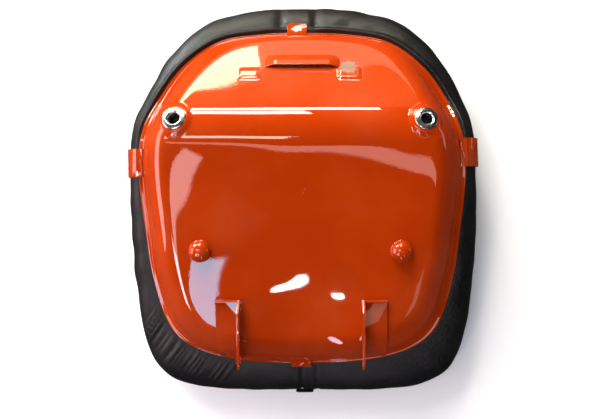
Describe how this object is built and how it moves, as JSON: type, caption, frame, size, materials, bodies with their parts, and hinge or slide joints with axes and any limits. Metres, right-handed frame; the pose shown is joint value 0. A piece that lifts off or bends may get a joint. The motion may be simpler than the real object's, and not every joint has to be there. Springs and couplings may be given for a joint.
{
  "type": "ride-on mower seat",
  "caption": "Upholstered pressed-steel pan seat with a low back, hinge ears, rest studs, drain eyelets and tabs that hold a black vinyl cushion, shown lying on its cushion.",
  "frame": {"origin": "middle of the footprint, on the surface that the cushion lies on", "axes": "+Z out of the pan's outer face, away from the cushion; +Y towards the low back; +X to the right, seen from above with the low back away"},
  "size_m": [0.4258, 0.4824, 0.1476],
  "materials": {
    "orange_enamel": "gloss enamel",
    "bright_plate": "bright plated",
    "black_vinyl": "grained satin vinyl",
    "foam": "open-cell foam",
    "hardboard": "plain hardboard",
    "steel_wire": "drawn wire"
  },
  "bodies": {
    "root": {"seat_pan": "orange_enamel", "left_hinge_bracket": "orange_enamel", "right_hinge_bracket": "orange_enamel", "left_rest_stud": "orange_enamel", "right_rest_stud": "orange_enamel", "left_retaining_tab": "orange_enamel", "right_retaining_tab": "orange_enamel", "rear_retaining_tab": "orange_enamel", "front_retaining_tab": "orange_enamel", "left_eyelet": "bright_plate", "right_eyelet": "bright_plate", "left_eyelet_washer": "bright_plate", "right_eyelet_washer": "bright_plate", "edge_roll": "black_vinyl", "seat_cover": "black_vinyl", "back_cover": "black_vinyl", "welt_piping": "black_vinyl", "seam_tab": "black_vinyl", "seat_foam": "foam", "back_foam": "foam", "seat_board": "hardboard", "back_board": "hardboard", "hem_wire": "steel_wire"}
  },
  "joints": []
}
